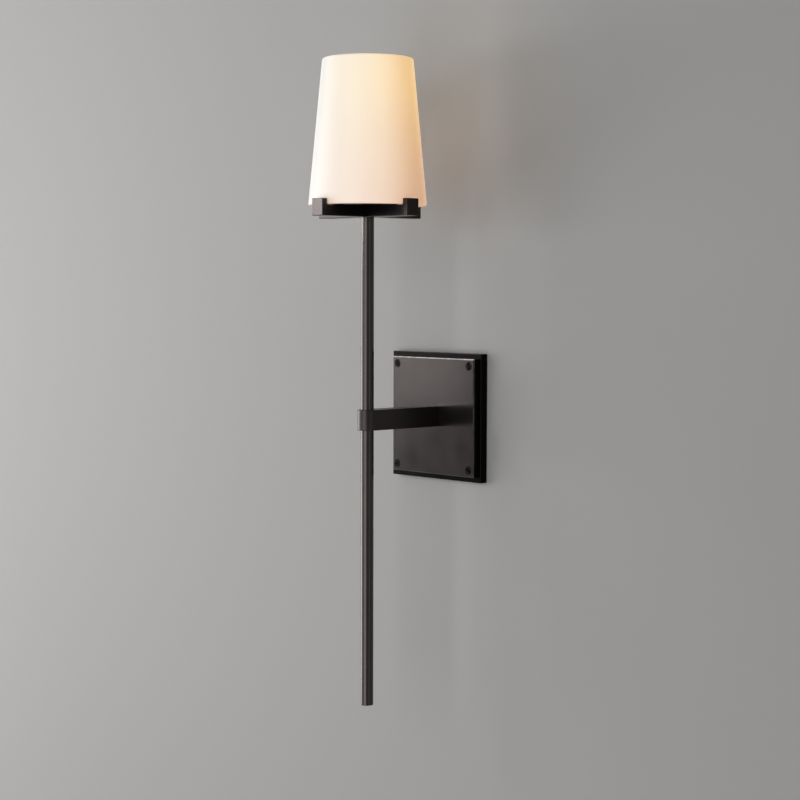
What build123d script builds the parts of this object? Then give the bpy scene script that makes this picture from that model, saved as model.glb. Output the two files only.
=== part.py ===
from build123d import *
from math import atan, cos, degrees, pi, radians, sin, sqrt
import os

# Wall lamp with a tapered glass shade on a long rod, in millimetres.
# Origin: centre of the back pan on the wall plane. +X right as seen from the room, -Y into the room, +Z up.

# Back pan and face plate
pan_side = 127.0
pan_depth = 8.0
pan_wall = 3.0
pan_web = 2.5
web_land = 5.3
pan_ease = 0.8
face_step = 5.2
face_thickness = 5.1
face_chamfer = 1.0

# Corner screws, countersunk and slotted
corner_screw_land = 1.9
corner_screw_r = 2.0
corner_screw_head_r = 4.2
corner_screw_sink = 0.3
corner_screw_end_gap = 0.6
corner_slot_width = 1.1
corner_slot_depth = 1.1
corner_slot_turns = (35.0, 80.0, -20.0, 50.0)

# Wall plate, screwed to the box in the wall
wall_plate_thickness = 2.0
wall_plate_gap = 0.5
cable_hole_land = 6.45
box_slot_spacing = 88.9
box_slot_length = 12.0
box_slot_width = 4.8
post_r = 4.0

# Arm
collar_wall = 3.1
arm_height = 20.0
arm_ease = 0.6
rod_out = 100.5
wire_way_gap = 0.75
arm_screw_r = 1.5
arm_screw_grip = 10.0
arm_screw_head_r = 2.8
arm_screw_head_height = 2.0
arm_washer_r = 3.3
set_screw_r = 2.5
set_screw_sink = 0.2
set_screw_key = 1.25
set_screw_key_depth = 1.5

# Rod
rod_r = 6.35
rod_wall = 1.85
rod_top = 195.6
rod_bottom = -279.2
tail_plug_rim = 2.0
tail_plug_grip = 8.0
tail_plug_ease = 0.6

# Cradle, a cross of two bars with upturned end tabs, and the disc that closes the shade's foot
bar_width = 15.2
bar_height = 10.45
tab_height = 5.9
tab_thickness = 5.9
tab_foot_r = 2.0
cradle_ease = 0.6
pad_length = 8.0
pad_width = 8.0
pad_thickness = 0.5
floor_disc_thickness = 1.5
floor_disc_gap = 0.2

# Threaded tube, washer and nut that clamp the cradle
nipple_wall = 1.75
nipple_grip = 14.0
cradle_washer_land = 4.0
cradle_washer_thickness = 1.0
cradle_nut_wall = 2.0
cradle_nut_height = 3.0

# Lamp holder
socket_wall = 1.0
cap_floor = 1.2
cap_height = 16.0
cap_bush_wall = 2.0
cap_bush_height = 5.0
insulator_floor = 5.0
insulator_lip = 1.1
insulator_sink = 2.0
insulator_wall = 1.7
sleeve_rise = 1.0
shell_wall = 0.7
shell_turns = 4
socket_contact_r = 4.0
socket_contact_height = 2.2
terminal_r = 3.0
terminal_gap = 3.0

# Bulb
bulb_r = 30.0
bulb_length = 107.0
bulb_cement = 0.2
bulb_neck_top = 30.0
bulb_join_lean = 35.0
bulb_glass_wall = 0.9
bulb_thread_r = 13.1
bulb_thread_depth = 0.8
bulb_thread_pitch = 3.6
bulb_thread_turns = 5
bulb_cap_wall = 0.5
bulb_cap_foot = 5.0
bulb_insulator_rim = 1.5
bulb_contact_r = 4.5
bulb_seat = 18.0
stem_r = 5.0
stem_height = 26.0
stem_table_r = 9.0
stem_table_thickness = 1.2
filament_r = 0.9
filament_length = 34.0
filament_ring_r = 6.5
filament_count = 4

# Glass shade
shade_bottom_r = 57.1
shade_top_r = 43.7
shade_height = 140.2
shade_wall = 4.0
shade_rim_round = 1.9

# Wires
wire_r = 1.2
wire_pair_gap = 0.2
wire_turn_at_plate = 5.8
wire_turn_at_rod = 7.0
wire_turn_at_socket = 3.0
wire_slant_turn = 8.0
cap_wire_depth = 7.5
crimp_cap_length = 16.0
crimp_cap_land = 2.35
crimp_cap_spread = 4.6
crimp_cap_wall_gap = 0.2
crimp_cap_front_gap = 0.8
earth_wire_r = 1.0
earth_tag_thickness = 0.8
earth_barrel_r = 1.6
earth_barrel_length = 5.5
earth_barrel_gap = 0.1
earth_land = 8.8
earth_wire_turn = 15.0
earth_screw_r = 2.0
earth_screw_head_r = 3.5
earth_screw_head_height = 2.2
earth_ring_r = 4.2

# Clearances
thread_gap = 0.05
hole_gap = 0.1
rod_fit = 0.05
moving_gap = 0.3
shade_seat_gap = 0.6
cut_past = 1.0

# Planes and places worked out from the sizes above
pan_front = -pan_depth
web_back = -(pan_depth - pan_web)
face_side = pan_side - 2 * face_step
face_front = pan_front - face_thickness
corner_at = face_side / 2 - face_chamfer - corner_screw_land - corner_screw_head_r
corners = [(x, z) for z in (corner_at, -corner_at) for x in (-corner_at, corner_at)]
pan_opening = 2 * (corner_at - post_r - web_land)
wall_plate_front = -wall_plate_thickness
wall_plate_side = pan_side - 2 * pan_wall - 2 * wall_plate_gap
cable_hole_r = (box_slot_spacing - box_slot_length) / 2 - cable_hole_land
wire_at = wire_r + wire_pair_gap / 2
wire_way_r = wire_at + wire_r + wire_way_gap
rod_bore_r = rod_r - rod_wall
rod_axis = Pos(0, -rod_out, 0)
arm_width = 2 * (rod_r + rod_fit + collar_wall)
arm_screw_at = (wire_way_r + arm_width / 2) / 2
nipple_r = wire_way_r + nipple_wall
cradle_top = rod_top + bar_height
tab_top = cradle_top + tab_height
tab_inside = shade_bottom_r + shade_seat_gap
cradle_reach = tab_inside + tab_thickness
floor_disc_r = tab_inside - tab_foot_r - pad_length - floor_disc_gap
floor_disc_top = cradle_top + floor_disc_thickness
cradle_nut_bottom = floor_disc_top + cradle_washer_thickness
cap_bottom = cradle_nut_bottom + cradle_nut_height
cap_top = cap_bottom + cap_height
nipple_top = cap_bottom + cap_floor + cap_bush_height
shell_outer_r = bulb_thread_r + moving_gap + shell_wall
insulator_r = shell_outer_r + hole_gap + insulator_wall
socket_inside_r = insulator_r + hole_gap
socket_r = socket_inside_r + socket_wall
terminal_at = socket_inside_r - terminal_gap - terminal_r
insulator_bottom = cap_top - insulator_sink
insulator_base = insulator_bottom + insulator_floor
socket_contact_top = insulator_base + socket_contact_height
bulb_tip = socket_contact_top + moving_gap
bulb_thread_bottom = bulb_tip + bulb_cap_foot
insulator_top = bulb_thread_bottom + shell_turns * bulb_thread_pitch + insulator_lip
bulb_cap_inside_r = bulb_thread_r - bulb_thread_depth - bulb_cap_wall
bulb_neck_r = bulb_cap_inside_r - bulb_cement
bulb_neck_bottom = bulb_tip + bulb_seat
bulb_neck_end = bulb_tip + bulb_neck_top
bulb_middle = bulb_tip + bulb_length - bulb_r
stem_top = bulb_neck_bottom + stem_height
shade_bottom = cradle_top + pad_thickness
crimp_cap_r = (pan_depth - crimp_cap_front_gap - crimp_cap_wall_gap) / 2
crimp_cap_reach = sqrt((cable_hole_r - crimp_cap_land) ** 2 - (crimp_cap_spread + crimp_cap_r) ** 2)
crimp_cap_drop = crimp_cap_reach - crimp_cap_length
wire_back = -(crimp_cap_r + crimp_cap_wall_gap)
terminal_wire_z = nipple_top + wire_r + hole_gap + wire_turn_at_socket / 2
arm_head_seat = pan_front + earth_tag_thickness
earth_barrel_front = pan_front + earth_barrel_r + earth_barrel_gap
earth_barrel_back = wall_plate_front - earth_barrel_r - earth_barrel_gap
earth_way = Vector(-cos(pi / 4), 0, sin(pi / 4))
earth_start = Vector(-arm_screw_at, 0, 0)
earth_reach = cable_hole_r + earth_land
earth_run = (sqrt(2 * earth_reach**2 - arm_screw_at**2) - arm_screw_at) / sqrt(2)
earth_end = earth_start + earth_way * earth_run
front_barrel_start = arm_screw_head_r + hole_gap
back_barrel_start = earth_screw_head_r + hole_gap


# Small helpers for the shapes that come back again and again
def along_y(radius, y_from, y_to, x=0.0, z=0.0):
    place = Pos(x, (y_from + y_to) / 2, z) * Rot(90, 0, 0)
    return place * Cylinder(radius, abs(y_to - y_from))


def along_x(radius, x_from, x_to, y=0.0, z=0.0):
    place = Pos((x_from + x_to) / 2, y, z) * Rot(0, 90, 0)
    return place * Cylinder(radius, abs(x_to - x_from))


def upright(radius, z_from, z_to, x=0.0, y=0.0):
    return Pos(x, y, (z_from + z_to) / 2) * Cylinder(radius, abs(z_to - z_from))


def slab(size_x, size_z, y_from, y_to):
    return Pos(0, (y_from + y_to) / 2, 0) * Box(size_x, abs(y_to - y_from), size_z)


def turned(points):
    outline = Polyline(*[(r, 0, z) for r, z in points], close=True)
    return revolve(make_face(outline), Axis.Z)


def cone_y(radius_front, radius_back, y_front, y_back, x, z):
    place = Pos(x, (y_front + y_back) / 2, z) * Rot(90, 0, 0)
    return place * Cone(radius_back, radius_front, abs(y_back - y_front))


def wire(points, radii, radius):
    path = FilletPolyline(*points, radius=radii)
    section = Plane(origin=path @ 0, z_dir=path % 0) * Circle(radius)
    tube = sweep(section, path=path)
    want = pi * radius**2 * path.length
    print(f"wire length {path.length:.1f}, volume against section times length {tube.volume / want:.4f}")
    return tube


def save(name, *solids):
    shape = solids[0] if len(solids) == 1 else Compound(children=list(solids))
    export_step(shape, f"parts/{name}.step")


# Wall plate with its two box slots, cable hole and earth screw hole
def make_wall_plate():
    plate = slab(wall_plate_side, wall_plate_side, wall_plate_front, 0)
    plate -= along_y(cable_hole_r, wall_plate_front, 0)
    slot = SlotOverall(box_slot_length, box_slot_width)
    for side in (-1, 1):
        place = Plane(origin=(side * box_slot_spacing / 2, 0, 0), x_dir=(1, 0, 0), z_dir=(0, -1, 0))
        plate -= extrude(place * slot, amount=wall_plate_thickness)
    plate -= along_y(earth_screw_r + thread_gap, wall_plate_front, 0, earth_end.X, earth_end.Z)
    return plate


def make_wall_plate_posts():
    posts = []
    for x, z in corners:
        post = along_y(post_r, wall_plate_front, web_back, x, z)
        posts.append(post - along_y(corner_screw_r + thread_gap, wall_plate_front, web_back, x, z))
    return posts


# Hollow pan, open at the back, with a square opening in its front web
def make_back_pan():
    pan = slab(pan_side, pan_side, 0, pan_front)
    pan = fillet(pan.edges().filter_by(Axis.Y) + pan.faces().sort_by(Axis.Y)[0].edges(), pan_ease)
    inside = pan_side - 2 * pan_wall
    pan -= slab(inside, inside, 0, web_back)
    pan -= slab(pan_opening, pan_opening, web_back, pan_front)
    for x, z in corners:
        pan -= along_y(corner_screw_r + hole_gap, web_back, pan_front, x, z)
    return pan


# Face plate, countersunk at its corners, bored for the wires and the arm's screws
def make_face_plate():
    plate = slab(face_side, face_side, pan_front, face_front)
    plate = chamfer(plate.faces().sort_by(Axis.Y)[0].edges(), face_chamfer)
    head_top = face_front + corner_screw_sink
    head_bottom = head_top + corner_screw_head_r - corner_screw_r
    shank_hole_r = corner_screw_r + hole_gap
    head_hole_r = corner_screw_head_r + hole_gap
    for x, z in corners:
        plate -= along_y(shank_hole_r, pan_front, face_front, x, z)
        plate -= along_y(head_hole_r, face_front, head_top, x, z)
        plate -= cone_y(head_hole_r, shank_hole_r, head_top, head_bottom, x, z)
    plate -= along_y(wire_way_r, pan_front, face_front)
    for side in (-1, 1):
        plate -= along_y(arm_screw_r + hole_gap, pan_front, face_front, side * arm_screw_at)
    return plate


def make_corner_screws():
    head_top = face_front + corner_screw_sink
    head_bottom = head_top + corner_screw_head_r - corner_screw_r
    screws = []
    for (x, z), turn in zip(corners, corner_slot_turns):
        screw = along_y(corner_screw_r, head_bottom, wall_plate_front - corner_screw_end_gap, x, z)
        screw += cone_y(corner_screw_head_r, corner_screw_r, head_top, head_bottom, x, z)
        slot = Box(2 * corner_screw_head_r + cut_past, corner_slot_depth, corner_slot_width)
        screw -= Pos(x, head_top + corner_slot_depth / 2, z) * Rot(0, turn, 0) * slot
        screws.append(screw)
    return screws


# Arm: a bar with a half-round nose, bored for the rod, the wires and its screws
def make_arm():
    bar = Pos(0, (face_front - rod_out) / 2, 0) * Box(arm_width, rod_out + face_front, arm_height)
    arm = bar + rod_axis * Cylinder(arm_width / 2, arm_height)
    ends = arm.faces().filter_by(Axis.Z)
    rims = [e for face in ends for e in face.edges() if e.center().Y < face_front - arm_ease]
    arm = fillet(rims, arm_ease)
    arm -= rod_axis * Cylinder(rod_r + rod_fit, arm_height)
    arm -= along_y(wire_way_r, face_front, -rod_out)
    for side in (-1, 1):
        arm -= along_y(arm_screw_r + thread_gap, face_front, face_front - arm_screw_grip, side * arm_screw_at)
    arm -= along_x(set_screw_r + thread_gap, -arm_width / 2, -rod_r, -rod_out)
    return arm


def make_arm_screws():
    screws = []
    for side in (-1, 1):
        x = side * arm_screw_at
        screw = along_y(arm_screw_r, arm_head_seat, face_front - arm_screw_grip + hole_gap, x)
        head = along_y(arm_screw_head_r, arm_head_seat, arm_head_seat + arm_screw_head_height, x)
        cross = Box(arm_screw_head_r, arm_screw_head_height, arm_screw_head_r / 4)
        top = Pos(x, arm_head_seat + arm_screw_head_height, 0)
        for turn in (0, 90):
            head -= top * Rot(0, turn, 0) * cross
        screws.append(screw + head)
    return screws


def make_arm_washer():
    washer = along_y(arm_washer_r, pan_front, arm_head_seat, arm_screw_at)
    return washer - along_y(arm_screw_r + hole_gap, pan_front, arm_head_seat, arm_screw_at)


def make_set_screw():
    tip = -rod_r - rod_fit
    head = -arm_width / 2 + set_screw_sink
    screw = along_x(set_screw_r, head, tip, -rod_out)
    key_plane = Plane(origin=(head, -rod_out, 0), z_dir=(1, 0, 0))
    key = key_plane * RegularPolygon(set_screw_key, 6, major_radius=False)
    return screw - extrude(key, amount=set_screw_key_depth)


# Rod: a tube, tapped at its top, with a side hole for the wires
def make_rod():
    tube_bottom = rod_bottom + tail_plug_rim
    rod = upright(rod_r, tube_bottom, rod_top, 0, -rod_out)
    rod -= upright(rod_bore_r, tube_bottom, rod_top, 0, -rod_out)
    rod -= upright(nipple_r + thread_gap, rod_top - nipple_grip, rod_top, 0, -rod_out)
    rod -= along_y(wire_way_r, -rod_out, -rod_out + rod_r + cut_past)
    return rod


def make_tail_plug():
    rim = Cylinder(rod_r, tail_plug_rim)
    rim = fillet(rim.edges().sort_by(Axis.Z)[0], tail_plug_ease)
    plug = Pos(0, -rod_out, rod_bottom + tail_plug_rim / 2) * rim
    spigot_bottom = rod_bottom + tail_plug_rim
    return plug + upright(rod_bore_r - thread_gap, spigot_bottom, spigot_bottom + tail_plug_grip, 0, -rod_out)


# Cradle: one bar with its two tabs, then the same bar a quarter turn round
def make_cradle_bar():
    half = [(0, rod_top), (cradle_reach, rod_top), (cradle_reach, tab_top)]
    half += [(tab_inside, tab_top), (tab_inside, cradle_top)]
    mirrored = [(-x, z) for x, z in reversed(half[1:])]
    outline = Polyline(*[(x, 0, z) for x, z in half[1:] + mirrored], close=True)
    bar = extrude(make_face(outline), amount=bar_width / 2, both=True)
    across = bar.edges().filter_by(Axis.Y)
    feet = [e for e in across if abs(e.center().Z - cradle_top) < cradle_ease]
    bar = fillet(feet, tab_foot_r)
    sides = bar.faces().filter_by(Axis.Y)
    rims = [e for face in sides for e in face.edges()]
    corners_out = [e for e in bar.edges().filter_by(Axis.Y) if e.center().Z > tab_top - cradle_ease
                   or e.center().Z < rod_top + cradle_ease]
    return fillet(rims + corners_out, cradle_ease)


def make_cradle():
    bar = make_cradle_bar()
    cross = bar + Rot(0, 0, 90) * bar
    cross -= upright(nipple_r + hole_gap, rod_top, cradle_top)
    return rod_axis * cross


def make_cradle_pads():
    pads = []
    pad_middle = tab_inside - tab_foot_r - pad_length / 2
    for quarter in range(4):
        pad = Pos(pad_middle, 0, cradle_top + pad_thickness / 2) * Box(pad_length, pad_width, pad_thickness)
        pads.append(rod_axis * Rot(0, 0, 90 * quarter) * pad)
    return pads


def make_floor_disc():
    disc = upright(floor_disc_r, cradle_top, floor_disc_top)
    return rod_axis * (disc - upright(nipple_r + hole_gap, cradle_top, floor_disc_top))


# Threaded tube through the cradle, with its washer and nut
def make_socket_nipple():
    bottom = rod_top - nipple_grip + hole_gap
    tube = upright(nipple_r, bottom, nipple_top, 0, -rod_out)
    return tube - upright(wire_way_r, bottom, nipple_top, 0, -rod_out)


def make_cradle_washer():
    washer = upright(nipple_r + cradle_washer_land, floor_disc_top, cradle_nut_bottom)
    return rod_axis * (washer - upright(nipple_r + hole_gap, floor_disc_top, cradle_nut_bottom))


def make_cradle_nut():
    hexagon = Pos(0, 0, cradle_nut_bottom) * RegularPolygon(nipple_r + cradle_nut_wall, 6, major_radius=False)
    nut = extrude(hexagon, amount=cradle_nut_height)
    return rod_axis * (nut - upright(nipple_r + thread_gap, cradle_nut_bottom, cap_bottom))


# Lamp holder: cap, sleeve, insulator, screw shell, contact and terminals
def make_socket_cap():
    floor_top = cap_bottom + cap_floor
    cup = upright(socket_r, cap_bottom, cap_top) - upright(socket_inside_r, floor_top, cap_top)
    cup = fillet(cup.edges().filter_by(GeomType.CIRCLE).sort_by(Axis.Z)[0], socket_wall)
    cup += upright(nipple_r + cap_bush_wall, floor_top, nipple_top)
    return rod_axis * (cup - upright(nipple_r + thread_gap, cap_bottom, nipple_top))


def make_socket_sleeve():
    top = insulator_top + sleeve_rise
    return rod_axis * (upright(socket_r, cap_top, top) - upright(socket_inside_r, cap_top, top))


def make_socket_insulator():
    cup = upright(insulator_r, insulator_bottom, insulator_top)
    return rod_axis * (cup - upright(insulator_r - insulator_wall, insulator_base, insulator_top))


# Ring-threaded outline: root, crest, crest, root for each turn
def thread_outline(crest_r, turns):
    root_r = crest_r - bulb_thread_depth
    quarter = bulb_thread_pitch / 4
    points = []
    for turn in range(turns):
        low = bulb_thread_bottom + turn * bulb_thread_pitch
        points += [(root_r, low), (crest_r, low + quarter)]
        points += [(crest_r, low + 2 * quarter), (root_r, low + 3 * quarter)]
    points.append((root_r, bulb_thread_bottom + turns * bulb_thread_pitch))
    return points


def make_screw_shell():
    inner = thread_outline(bulb_thread_r + moving_gap, shell_turns)
    foot_r = inner[0][0]
    shell_top = inner[-1][1]
    outer = [(shell_outer_r, shell_top), (shell_outer_r, insulator_base), (foot_r, insulator_base)]
    return rod_axis * turned(inner + outer)


def make_socket_contact():
    return rod_axis * upright(socket_contact_r, insulator_base, socket_contact_top)


def make_terminals():
    terminals = []
    for side in (-1, 1):
        post = upright(terminal_r, nipple_top + hole_gap, insulator_bottom, side * terminal_at, -rod_out)
        inner_x = side * (terminal_at - terminal_r)
        outside = inner_x - side * cut_past
        post -= along_x(wire_r + thread_gap, outside, side * terminal_at, -rod_out, terminal_wire_z)
        terminals.append(post)
    return terminals


# Bulb: glass envelope, ringed cap, insulator, contact, stem and filaments
def envelope(shrink):
    ball_r = bulb_r - shrink
    neck_r = bulb_neck_r - shrink
    lean = radians(bulb_join_lean)
    join = (ball_r * cos(lean), 0, bulb_middle - ball_r * sin(lean))
    neck = Line((neck_r, 0, bulb_neck_bottom), (neck_r, 0, bulb_neck_end))
    flare = Spline((neck_r, 0, bulb_neck_end), join, tangents=[(0, 0, 1), (sin(lean), 0, cos(lean))])
    dome = ThreePointArc(join, (ball_r * cos(lean / 2), 0, bulb_middle + ball_r * sin(lean / 2)),
                         (0, 0, bulb_middle + ball_r))
    axis_line = Line((0, 0, bulb_middle + ball_r), (0, 0, bulb_neck_bottom))
    foot = Line((0, 0, bulb_neck_bottom), (neck_r, 0, bulb_neck_bottom))
    return revolve(make_face(Wire([neck, flare, dome, axis_line, foot])), Axis.Z)


def make_bulb_glass():
    return rod_axis * (envelope(0) - envelope(bulb_glass_wall))


def make_bulb_cap():
    outer = thread_outline(bulb_thread_r, bulb_thread_turns)
    inner = [(bulb_cap_inside_r, outer[-1][1]), (bulb_cap_inside_r, bulb_thread_bottom)]
    return rod_axis * turned(outer + inner)


def make_bulb_insulator():
    bottom = bulb_tip + bulb_insulator_rim
    outline = [(0, bottom), (bulb_contact_r, bottom), (bulb_cap_inside_r, bulb_thread_bottom)]
    outline += [(bulb_cap_inside_r, bulb_neck_bottom), (0, bulb_neck_bottom)]
    return rod_axis * turned(outline)


def make_bulb_contact():
    return rod_axis * upright(bulb_contact_r, bulb_tip, bulb_tip + bulb_insulator_rim)


def make_bulb_stem():
    stem = upright(stem_r, bulb_neck_bottom, stem_top)
    return rod_axis * (stem + upright(stem_table_r, stem_top, stem_top + stem_table_thickness))


def make_filaments():
    foot = stem_top + stem_table_thickness
    rods = []
    for count in range(filament_count):
        turn = 2 * pi * count / filament_count
        x, y = filament_ring_r * cos(turn), filament_ring_r * sin(turn)
        rods.append(rod_axis * upright(filament_r, foot, foot + filament_length, x, y))
    return rods


# Shade: a tapered glass tube, open at both ends, with rounded rims
def make_shade():
    top = shade_bottom + shade_height
    taper = atan((shade_bottom_r - shade_top_r) / shade_height)
    wall_across = shade_wall / cos(taper)
    outline = [(shade_bottom_r - wall_across, shade_bottom), (shade_bottom_r, shade_bottom)]
    outline += [(shade_top_r, top), (shade_top_r - wall_across, top)]
    shade = turned(outline)
    rims = shade.edges().filter_by(GeomType.CIRCLE)
    print(f"shade taper {degrees(taper):.2f} degrees a side")
    return rod_axis * fillet(rims, min(shade_rim_round, shade_wall / 2 - hole_gap))


# Wires, from the crimp caps through the face plate, arm and rod to the socket's terminals
def make_lead(side):
    points = [
        (side * crimp_cap_spread, wire_back, -crimp_cap_drop - cap_wire_depth),
        (side * crimp_cap_spread, wire_back, -crimp_cap_drop),
        (side * wire_at, wire_back, 0),
        (side * wire_at, -rod_out, 0),
        (side * wire_at, -rod_out, terminal_wire_z),
        (side * terminal_at, -rod_out, terminal_wire_z),
    ]
    return wire(points, [wire_slant_turn, wire_turn_at_plate, wire_turn_at_rod, wire_turn_at_socket], wire_r)


def make_crimp_caps():
    caps = []
    for side in (-1, 1):
        x = side * crimp_cap_spread
        mouth = -crimp_cap_drop
        cap = upright(crimp_cap_r, mouth - crimp_cap_length, mouth, x, wire_back)
        cap = fillet(cap.edges().sort_by(Axis.Z)[0], crimp_cap_r / 2)
        caps.append(cap - upright(wire_r + thread_gap, mouth - cap_wire_depth, mouth, x, wire_back))
    return caps


# Earth: a ring tag at each end of a short wire, one under an arm screw, one under the earth screw
def earth_point(run, y):
    place = earth_start + earth_way * run
    return (place.X, y, place.Z)


def make_earth_tag(centre, way, ring_r, hole_r, barrel_start, seat, barrel_y):
    tag = along_y(ring_r, seat, seat + earth_tag_thickness, centre.X, centre.Z)
    tongue = Rectangle(2 * earth_barrel_r, earth_tag_thickness)
    middle = centre + Vector(0, seat + earth_tag_thickness / 2, 0)
    tongue_plane = Plane(origin=middle, x_dir=way.cross(Vector(0, 1, 0)), z_dir=way)
    tag += extrude(tongue_plane * tongue, amount=barrel_start + earth_barrel_length)
    start = centre + way * barrel_start + Vector(0, barrel_y, 0)
    barrel_plane = Plane(origin=start, z_dir=way)
    barrel = extrude(barrel_plane * Circle(earth_barrel_r), amount=earth_barrel_length)
    bore = extrude(barrel_plane * Circle(earth_wire_r + thread_gap), amount=earth_barrel_length)
    tag = tag + barrel - bore
    return tag - along_y(hole_r, seat, seat + earth_tag_thickness, centre.X, centre.Z)


def make_earth_tags():
    front = make_earth_tag(earth_start, earth_way, arm_washer_r, arm_screw_r + hole_gap, front_barrel_start,
                           pan_front, earth_barrel_front)
    back = make_earth_tag(earth_end, -earth_way, earth_ring_r, earth_screw_r + hole_gap, back_barrel_start,
                          wall_plate_front - earth_tag_thickness, earth_barrel_back)
    return [front, back]


def make_earth_wire():
    from_run = front_barrel_start + earth_tag_thickness
    to_run = earth_run - back_barrel_start - earth_tag_thickness
    reach = to_run - from_run
    points = [
        earth_point(from_run, earth_barrel_front),
        earth_point(from_run + reach / 3, earth_barrel_front),
        earth_point(to_run - reach / 3, earth_barrel_back),
        earth_point(to_run, earth_barrel_back),
    ]
    return wire(points, [earth_wire_turn, earth_wire_turn], earth_wire_r)


def make_earth_screw():
    seat = wall_plate_front - earth_tag_thickness
    front = seat - earth_screw_head_height
    screw = along_y(earth_screw_r, seat, 0, earth_end.X, earth_end.Z)
    head = along_y(earth_screw_head_r, front, seat, earth_end.X, earth_end.Z)
    slot = Box(2 * earth_screw_head_r + cut_past, earth_screw_head_height, corner_slot_width)
    return screw + (head - Pos(earth_end.X, front, earth_end.Z) * slot)


os.makedirs("parts", exist_ok=True)
save("wall_plate", make_wall_plate())
save("wall_plate_posts", *make_wall_plate_posts())
save("back_pan", make_back_pan())
save("face_plate", make_face_plate())
save("face_plate_screws", *make_corner_screws())
save("earth_screw", make_earth_screw())
save("earth_tags", *make_earth_tags())
save("earth_wire", make_earth_wire())
save("crimp_caps", *make_crimp_caps())
save("arm", make_arm())
save("arm_screws", *make_arm_screws())
save("arm_washer", make_arm_washer())
save("rod_set_screw", make_set_screw())
save("rod", make_rod())
save("rod_tail_plug", make_tail_plug())
save("cradle", make_cradle())
save("cradle_pads", *make_cradle_pads())
save("floor_disc", make_floor_disc())
save("socket_nipple", make_socket_nipple())
save("cradle_washer", make_cradle_washer())
save("cradle_nut", make_cradle_nut())
save("socket_cap", make_socket_cap())
save("socket_sleeve", make_socket_sleeve())
save("socket_insulator", make_socket_insulator())
save("socket_screw_shell", make_screw_shell())
save("socket_contact", make_socket_contact())
save("socket_terminals", *make_terminals())
save("live_wire", make_lead(1))
save("neutral_wire", make_lead(-1))
save("bulb_glass", make_bulb_glass())
save("bulb_cap", make_bulb_cap())
save("bulb_insulator", make_bulb_insulator())
save("bulb_contact", make_bulb_contact())
save("bulb_stem", make_bulb_stem())
save("bulb_filament", *make_filaments())
save("glass_shade", make_shade())
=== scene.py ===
# Wall lamp with an opal glass shade: finishes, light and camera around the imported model
import math

import bmesh
import bpy
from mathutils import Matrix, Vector


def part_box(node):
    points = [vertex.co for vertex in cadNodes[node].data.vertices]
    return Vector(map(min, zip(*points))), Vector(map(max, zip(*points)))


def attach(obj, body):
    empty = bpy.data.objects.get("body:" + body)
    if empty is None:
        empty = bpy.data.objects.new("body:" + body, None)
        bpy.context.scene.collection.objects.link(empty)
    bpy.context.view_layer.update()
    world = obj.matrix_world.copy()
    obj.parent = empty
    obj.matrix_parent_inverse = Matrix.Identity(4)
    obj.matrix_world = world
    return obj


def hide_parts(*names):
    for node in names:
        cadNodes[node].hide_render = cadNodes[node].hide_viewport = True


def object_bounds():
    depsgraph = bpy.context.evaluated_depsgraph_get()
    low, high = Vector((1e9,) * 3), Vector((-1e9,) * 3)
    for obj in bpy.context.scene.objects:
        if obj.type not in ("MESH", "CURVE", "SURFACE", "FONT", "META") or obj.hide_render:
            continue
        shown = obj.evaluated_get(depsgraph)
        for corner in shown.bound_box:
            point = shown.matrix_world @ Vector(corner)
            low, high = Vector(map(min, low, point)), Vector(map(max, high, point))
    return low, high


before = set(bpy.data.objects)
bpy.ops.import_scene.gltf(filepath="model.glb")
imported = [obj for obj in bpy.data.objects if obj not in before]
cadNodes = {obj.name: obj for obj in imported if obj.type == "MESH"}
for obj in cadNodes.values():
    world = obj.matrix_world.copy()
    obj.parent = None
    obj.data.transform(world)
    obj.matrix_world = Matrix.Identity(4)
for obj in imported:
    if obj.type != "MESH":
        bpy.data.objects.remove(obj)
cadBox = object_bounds()
scene = bpy.context.scene
scene.view_settings.view_transform = "Standard"
print("frame loaded:", len(cadNodes), "nodes")


# places that everything else is measured from
rodLow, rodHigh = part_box("rod")
rodAxis = Vector(((rodLow.x + rodHigh.x) / 2, (rodLow.y + rodHigh.y) / 2, 0.0))
bulbLow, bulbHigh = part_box("bulb_glass")
bulbRadius = (bulbHigh.x - bulbLow.x) / 2
bulbMiddle = bulbHigh.z - bulbRadius  # level of the globe's centre


# camera, at the photograph's own viewing angle
shot = {
    "azimuth": 47.15,  # degrees round to the right of square-on
    "pitch": 3.512,    # degrees down
    "roll": -0.15,     # degrees, so that the rod leans as it does in the picture
    "away": 1.7887,    # back from the rod's axis, in metres
    "aside": 0.0314,   # to the right of the rod
    "height": 0.1292,  # over the back plate's centre
    "lens": 83.25,     # millimetres, as is the sensor
    "sensor": 36.0,
}


def addCamera():
    turn = math.radians(shot["azimuth"])
    ahead = Vector((-math.sin(turn), math.cos(turn), 0.0))
    right = Vector((math.cos(turn), math.sin(turn), 0.0))
    data = bpy.data.cameras.new("photoCamera")
    data.lens = shot["lens"]
    data.sensor_width = shot["sensor"]
    camera = bpy.data.objects.new("photoCamera", data)
    place = rodAxis - ahead * shot["away"] + right * shot["aside"]
    camera.location = place + Vector((0.0, 0.0, shot["height"]))
    camera.rotation_euler = (math.radians(90.0 - shot["pitch"]), math.radians(shot["roll"]), turn)
    scene.collection.objects.link(camera)
    scene.camera = camera


addCamera()
print("camera set")


# small helpers for node trees
socketKinds = {float: "NodeSocketFloat", int: "NodeSocketInt", tuple: "NodeSocketVector"}
colourMix = {"factor": 0, "first": 6, "second": 7, "result": 2}  # by number, as a Mix node's names repeat
unitSpan = (0.0, 1.0)


# links another node's output to a socket, or sets a plain value there
def feed(tree, value, socket):
    if hasattr(value, "is_output"):
        tree.links.new(value, socket)
    elif socket.type == "RGBA":
        socket.default_value = (*value, 1.0)
    else:
        socket.default_value = value


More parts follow.
